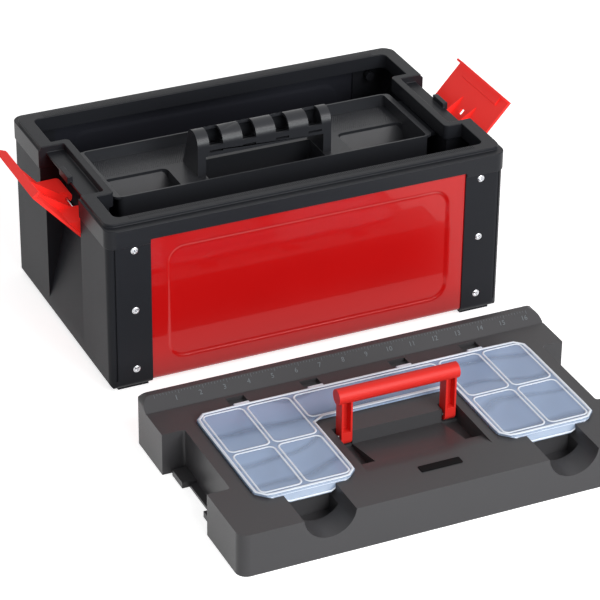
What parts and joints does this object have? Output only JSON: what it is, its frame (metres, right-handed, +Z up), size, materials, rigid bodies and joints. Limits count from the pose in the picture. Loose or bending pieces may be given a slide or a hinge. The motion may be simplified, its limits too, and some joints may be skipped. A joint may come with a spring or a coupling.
{
  "type": "tool box",
  "caption": "Metal-clad tool box with a lift-out tray and swung-open end latches; its lift-off lid with folding handle, ruler ridge and hinged clear organiser lies in front.",
  "frame": {"origin": "on the floor, at the centre of the rectangle that the box and the lid in front of it cover together", "axes": "+X along the box to its right end, +Y from the lid to the box, +Z up"},
  "size_m": [0.5326, 0.617, 0.207],
  "materials": {
    "painted_panel": "gloss red paint on sheet steel",
    "body_plastic": "satin black moulding",
    "tray_plastic": "satin black moulding",
    "lid_plastic": "satin dark grey moulding",
    "latch_plastic": "satin red moulding",
    "handle_plastic": "satin red moulding",
    "badge_plastic": "gloss black plate",
    "clear_plastic": "translucent milky moulding",
    "zinc_steel": "bright zinc plate"
  },
  "bodies": {
    "box": {"steel_shell": "painted_panel", "left_end_cap": "body_plastic", "right_end_cap": "body_plastic", "top_rim": "body_plastic", "left_front_screws": "zinc_steel", "right_front_screws": "zinc_steel", "left_back_screws": "zinc_steel", "right_back_screws": "zinc_steel", "left_latch_pin": "zinc_steel", "right_latch_pin": "zinc_steel"},
    "left_latch": {"left_latch": "latch_plastic"},
    "right_latch": {"right_latch": "latch_plastic"},
    "tray": {"tray": "tray_plastic", "tray_handle": "tray_plastic"},
    "lid": {"lid_shell": "lid_plastic", "badge_plate": "badge_plastic", "left_handle_pin": "zinc_steel", "right_handle_pin": "zinc_steel", "organiser_bin": "clear_plastic", "organiser_hinge_pins": "zinc_steel"},
    "lid_handle": {"lid_handle": "handle_plastic"},
    "organiser_cover": {"organiser_cover": "clear_plastic"}
  },
  "joints": [
    {"name": "left_latch_hinge", "type": "hinge", "parent": "box", "child": "left_latch", "pos_m": [-0.2065, 0.167, 0.1473], "axis": [0, -1, 0], "range_deg": [-42, 30]},
    {"name": "right_latch_hinge", "type": "hinge", "parent": "box", "child": "right_latch", "pos_m": [0.2065, 0.167, 0.1473], "axis": [0, 1, 0], "range_deg": [-42, 30]},
    {"name": "tray_lift", "type": "slide", "parent": "box", "child": "tray", "axis": [0, 0, 1], "range_m": [0, 0.15]},
    {"name": "lid_lift", "type": "slide", "parent": "box", "child": "lid", "axis": [0, 0, 1], "range_m": [0, 0.2]},
    {"name": "lid_handle_fold", "type": "hinge", "parent": "lid", "child": "lid_handle", "pos_m": [-0.0095, -0.185, 0.039], "axis": [1, 0, 0], "range_deg": [0, 78]},
    {"name": "organiser_cover_hinge", "type": "hinge", "parent": "lid", "child": "organiser_cover", "pos_m": [-0.0095, -0.10325, 0.0441], "axis": [-1, 0, 0], "range_deg": [0, 90]}
  ]
}
